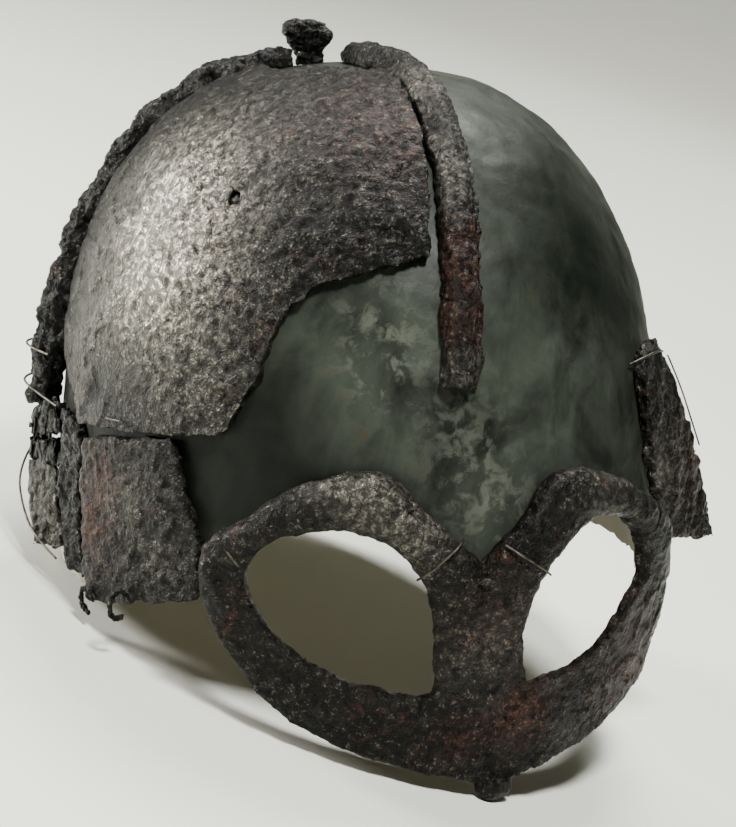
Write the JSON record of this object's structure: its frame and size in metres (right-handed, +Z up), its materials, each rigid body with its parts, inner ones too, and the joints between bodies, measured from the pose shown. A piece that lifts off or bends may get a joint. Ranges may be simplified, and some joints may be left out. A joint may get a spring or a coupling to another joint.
{
  "type": "norse iron helmet",
  "caption": "Norse iron helmet: corroded iron plates, bands and a spectacle guard set on a smooth dark filler bowl.",
  "frame": {"origin": "on the floor, under the middle of the resting helmet's box", "axes": "+Z up, -Y towards the helmet's front, +X towards the wearer's left; the helmet leans back on its guard tip and rear rim"},
  "size_m": [0.2306, 0.2498, 0.2073],
  "materials": {
    "filler": "hard plaster filler, painted dark grey-green, mottled, semi-matt",
    "iron": "conserved archaeological iron, coarse pitting with a waxed grey sheen",
    "rusty_iron": "conserved iron with brown and red rust stains, pitted, semi-matt",
    "wire": "thin dulled binding wire"
  },
  "bodies": {
    "root": {"bowl": "filler", "upper_plate": "iron", "left_cheek_plate": "rusty_iron", "left_strip": "rusty_iron", "upper_scrap": "iron", "middle_scrap": "iron", "lower_scrap": "iron", "right_cheek_plate": "rusty_iron", "front_band": "rusty_iron", "lateral_band": "iron", "crown_knob": "iron", "spectacle_guard": "rusty_iron", "nose_rivet": "iron", "ring_back": "iron", "ring_front": "iron", "left_brow_wire": "wire", "right_brow_wire": "wire"}
  },
  "joints": []
}
